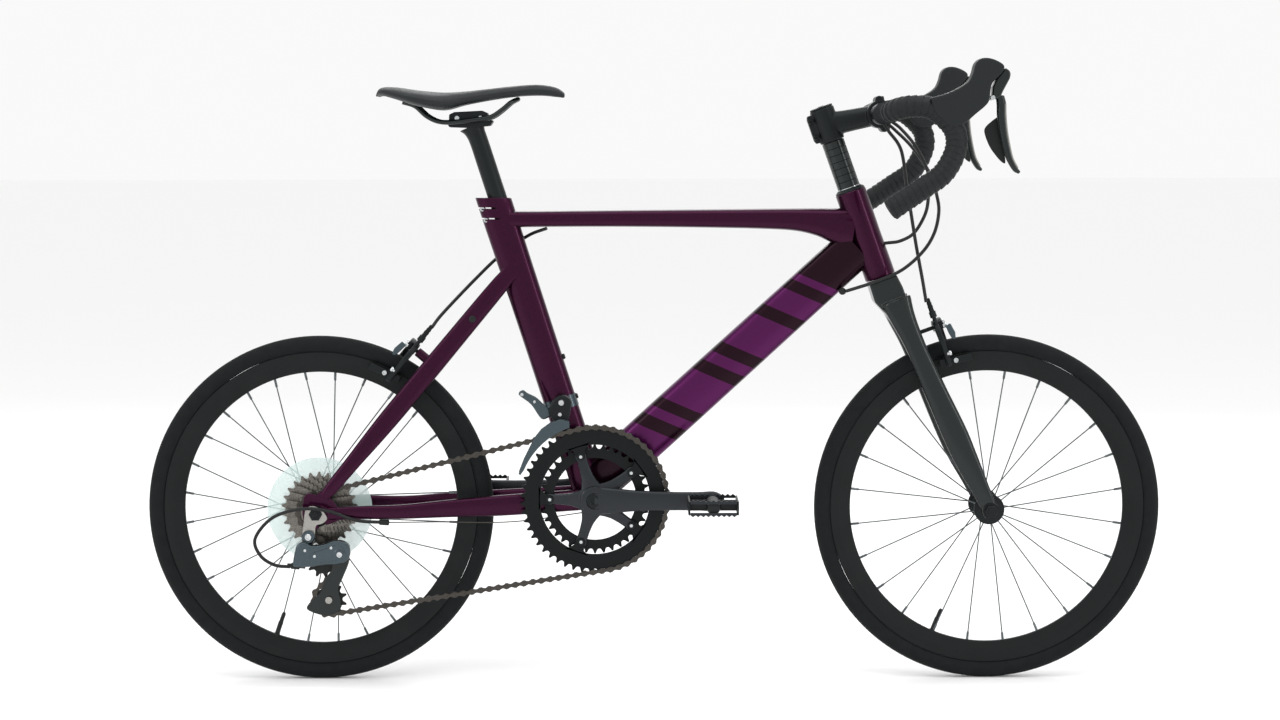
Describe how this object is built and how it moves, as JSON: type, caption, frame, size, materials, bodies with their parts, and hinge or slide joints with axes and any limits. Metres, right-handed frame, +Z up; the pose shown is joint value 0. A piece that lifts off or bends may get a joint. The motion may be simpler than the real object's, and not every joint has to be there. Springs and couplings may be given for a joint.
{
  "type": "small-wheel road bicycle",
  "caption": "Drop-bar road bicycle on small wheels, with a derailleur chain drive, caliper brakes and a rigid frame.",
  "frame": {"origin": "on the ground midway between the two axles, in the bicycle's middle plane", "axes": "+X forward, +Y to the rider's left, +Z up; the drive train is on -Y"},
  "size_m": [1.485, 0.4504, 0.9004],
  "materials": {
    "burgundy_paint": "deep burgundy metallic paint under clear gloss lacquer",
    "black_alloy": "black anodised or painted alloy",
    "steel": "oiled plain steel",
    "grey_alloy": "grey satin anodised alloy",
    "tyre_rubber": "black tyre rubber",
    "bar_tape": "black cork tape",
    "hood_rubber": "black ribbed rubber",
    "saddle_cover": "black matt synthetic cover",
    "clear_plastic": "clear plastic disc",
    "cable_plastic": "black plastic cable housing"
  },
  "bodies": {
    "frame": {"head_tube": "burgundy_paint", "top_tube": "burgundy_paint", "down_tube": "burgundy_paint", "seat_tube": "burgundy_paint", "bottom_bracket_shell": "burgundy_paint", "bottom_bracket_unit": "black_alloy", "chainstay_right": "burgundy_paint", "chainstay_left": "burgundy_paint", "seatstays": "burgundy_paint", "headset_upper_bearing": "black_alloy", "headset_lower_bearing": "steel", "rear_axle": "black_alloy", "front_derailleur": "grey_alloy", "rear_derailleur": "black_alloy", "chain": "steel", "housing_rear_brake": "cable_plastic", "housing_shift": "cable_plastic", "cable_rear_brake": "cable_plastic", "cable_rear_shift": "cable_plastic"},
    "steering": {"fork": "black_alloy", "headset_spacers": "black_alloy", "stem": "black_alloy", "handlebar": "black_alloy", "bar_tape_right": "bar_tape", "bar_tape_left": "bar_tape", "brake_hood_right": "hood_rubber", "brake_hood_left": "hood_rubber", "front_axle": "black_alloy", "housing_front_brake": "cable_plastic"},
    "seat": {"seatpost": "black_alloy", "saddle_rails": "black_alloy", "saddle": "saddle_cover"},
    "front_wheel": {"front_tyre": "tyre_rubber", "front_rim": "black_alloy", "front_spokes": "steel", "front_hub": "black_alloy"},
    "rear_wheel": {"rear_tyre": "tyre_rubber", "rear_rim": "black_alloy", "rear_spokes": "steel", "rear_hub": "black_alloy", "spoke_protector": "clear_plastic"},
    "cassette": {"cassette": "steel"},
    "crankset": {"crank_right": "black_alloy", "crank_left": "black_alloy", "chainring_large": "black_alloy", "chainring_small": "black_alloy"},
    "pedal_right": {"pedal_right": "grey_alloy"},
    "pedal_left": {"pedal_left": "grey_alloy"},
    "guide_pulley": {"guide_pulley": "black_alloy"},
    "tension_pulley": {"tension_pulley": "black_alloy"},
    "lever_unit_right": {"lever_unit_right": "black_alloy"},
    "lever_unit_left": {"lever_unit_left": "black_alloy"},
    "brake_lever_right": {"brake_lever_right": "grey_alloy"},
    "brake_lever_left": {"brake_lever_left": "grey_alloy"},
    "shift_paddle_right": {"shift_paddle_right": "black_alloy"},
    "shift_paddle_left": {"shift_paddle_left": "black_alloy"},
    "front_brake_arm_right": {"front_brake_arm_right": "black_alloy"},
    "front_brake_arm_left": {"front_brake_arm_left": "black_alloy"},
    "rear_brake_arm_right": {"rear_brake_arm_right": "black_alloy"},
    "rear_brake_arm_left": {"rear_brake_arm_left": "black_alloy"}
  },
  "joints": [
    {"name": "seatpost_height", "type": "slide", "parent": "frame", "child": "seat", "axis": [-0.3074, 0, 0.9516], "range_m": [-0.06, 0.04]},
    {"name": "steering_turn", "type": "hinge", "parent": "frame", "child": "steering", "pos_m": [0.31767, 0, 0.63032], "axis": [-0.3355, 0, 0.9421], "range_deg": [-60, 60], "deforming": ["housing_rear_brake", "housing_shift"]},
    {"name": "front_wheel_spin", "type": "hinge", "parent": "steering", "child": "front_wheel", "pos_m": [0.489, 0, 0.2535], "axis": [0, 1, 0], "continuous": true},
    {"name": "rear_wheel_spin", "type": "hinge", "parent": "frame", "child": "rear_wheel", "pos_m": [-0.489, 0, 0.2535], "axis": [0, 1, 0], "continuous": true},
    {"name": "crank_turn", "type": "hinge", "parent": "frame", "child": "crankset", "pos_m": [-0.086, 0, 0.271], "axis": [0, 1, 0], "continuous": true},
    {"name": "cassette_turn", "type": "hinge", "parent": "frame", "child": "cassette", "pos_m": [-0.489, 0, 0.2535], "axis": [0, 1, 0], "continuous": true},
    {"name": "guide_pulley_turn", "type": "hinge", "parent": "frame", "child": "guide_pulley", "pos_m": [-0.48, 0, 0.184], "axis": [0, 1, 0], "continuous": true},
    {"name": "tension_pulley_turn", "type": "hinge", "parent": "frame", "child": "tension_pulley", "pos_m": [-0.472, 0, 0.127], "axis": [0, 1, 0], "continuous": true},
    {"name": "pedal_right_turn", "type": "hinge", "parent": "crankset", "child": "pedal_right", "pos_m": [0.084, 0, 0.271], "axis": [0, 1, 0], "continuous": true},
    {"name": "pedal_left_turn", "type": "hinge", "parent": "crankset", "child": "pedal_left", "pos_m": [-0.256, 0, 0.271], "axis": [0, 1, 0], "continuous": true},
    {"name": "brake_pull_right", "type": "hinge", "parent": "steering", "child": "lever_unit_right", "pos_m": [0.46525, -0.2, 0.84769], "axis": [0, 1, 0], "range_deg": [0, 20], "stiffness_Nm_per_rad": 0.3},
    {"name": "shift_swing_right", "type": "hinge", "parent": "lever_unit_right", "child": "brake_lever_right", "pos_m": [0.47805, -0.2, 0.86489], "axis": [1, 0, 0], "range_deg": [0, 18], "stiffness_Nm_per_rad": 0.1},
    {"name": "paddle_swing_right", "type": "hinge", "parent": "brake_lever_right", "child": "shift_paddle_right", "pos_m": [0.47805, -0.2, 0.86489], "axis": [1, 0, 0], "range_deg": [0, 10], "stiffness_Nm_per_rad": 0.05},
    {"name": "brake_pull_left", "type": "hinge", "parent": "steering", "child": "lever_unit_left", "pos_m": [0.46525, 0.2, 0.84769], "axis": [0, 1, 0], "range_deg": [0, 20], "stiffness_Nm_per_rad": 0.3},
    {"name": "shift_swing_left", "type": "hinge", "parent": "lever_unit_left", "child": "brake_lever_left", "pos_m": [0.47805, 0.2, 0.86489], "axis": [1, 0, 0], "range_deg": [-18, 0], "stiffness_Nm_per_rad": 0.1},
    {"name": "paddle_swing_left", "type": "hinge", "parent": "brake_lever_left", "child": "shift_paddle_left", "pos_m": [0.47805, 0.2, 0.86489], "axis": [1, 0, 0], "range_deg": [-10, 0], "stiffness_Nm_per_rad": 0.05},
    {"name": "front_arm_right_close", "type": "hinge", "parent": "steering", "child": "front_brake_arm_right", "pos_m": [0.40757, 0, 0.51617], "axis": [0.9421, 0, 0.3355], "range_deg": [0, 1.5]},
    {"name": "front_arm_left_close", "type": "hinge", "parent": "steering", "child": "front_brake_arm_left", "pos_m": [0.40757, 0.015, 0.51617], "axis": [0.9421, 0, 0.3355], "range_deg": [-1.5, 0]},
    {"name": "rear_arm_right_close", "type": "hinge", "parent": "frame", "child": "rear_brake_arm_right", "pos_m": [-0.34676, 0, 0.48393], "axis": [-0.7683, 0, 0.6401], "range_deg": [-1.5, 0]},
    {"name": "rear_arm_left_close", "type": "hinge", "parent": "frame", "child": "rear_brake_arm_left", "pos_m": [-0.34676, 0.015, 0.48393], "axis": [-0.7683, 0, 0.6401], "range_deg": [0, 1.5]}
  ],
  "couplings": [
    {"joint": "cassette_turn", "follows": "crank_turn", "ratio": 4},
    {"joint": "guide_pulley_turn", "follows": "crank_turn", "ratio": -4.7273},
    {"joint": "tension_pulley_turn", "follows": "crank_turn", "ratio": 4.7273},
    {"joint": "front_arm_right_close", "follows": "brake_pull_left", "ratio": 0.075},
    {"joint": "front_arm_left_close", "follows": "brake_pull_left", "ratio": -0.075},
    {"joint": "rear_arm_right_close", "follows": "brake_pull_right", "ratio": -0.075},
    {"joint": "rear_arm_left_close", "follows": "brake_pull_right", "ratio": 0.075}
  ]
}
